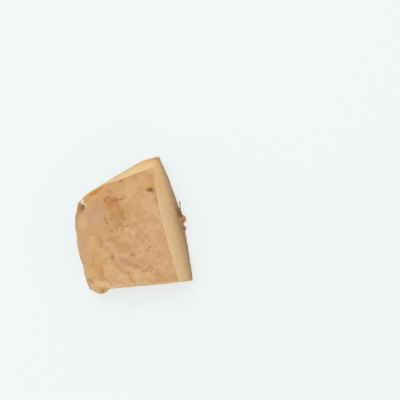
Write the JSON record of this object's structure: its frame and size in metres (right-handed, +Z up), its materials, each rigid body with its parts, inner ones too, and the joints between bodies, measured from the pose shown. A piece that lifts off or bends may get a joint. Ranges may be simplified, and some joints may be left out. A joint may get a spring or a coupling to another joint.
{
  "type": "ginger root",
  "caption": "Chunk of fresh ginger root: ringed, scarred tan skin, pale knife-cut faces, a blunt side bud and short root stubs. Lies on a small flat spot.",
  "frame": {"origin": "under the middle of the bounding box, at the height of the flat spot it lies on", "axes": "+Z up, +Y towards the narrow end, +X towards the long sloping cut face"},
  "size_m": [0.0526, 0.062, 0.0293],
  "materials": {
    "skin": "matte"
  },
  "bodies": {
    "root": {"ginger_root": "skin"}
  },
  "joints": []
}
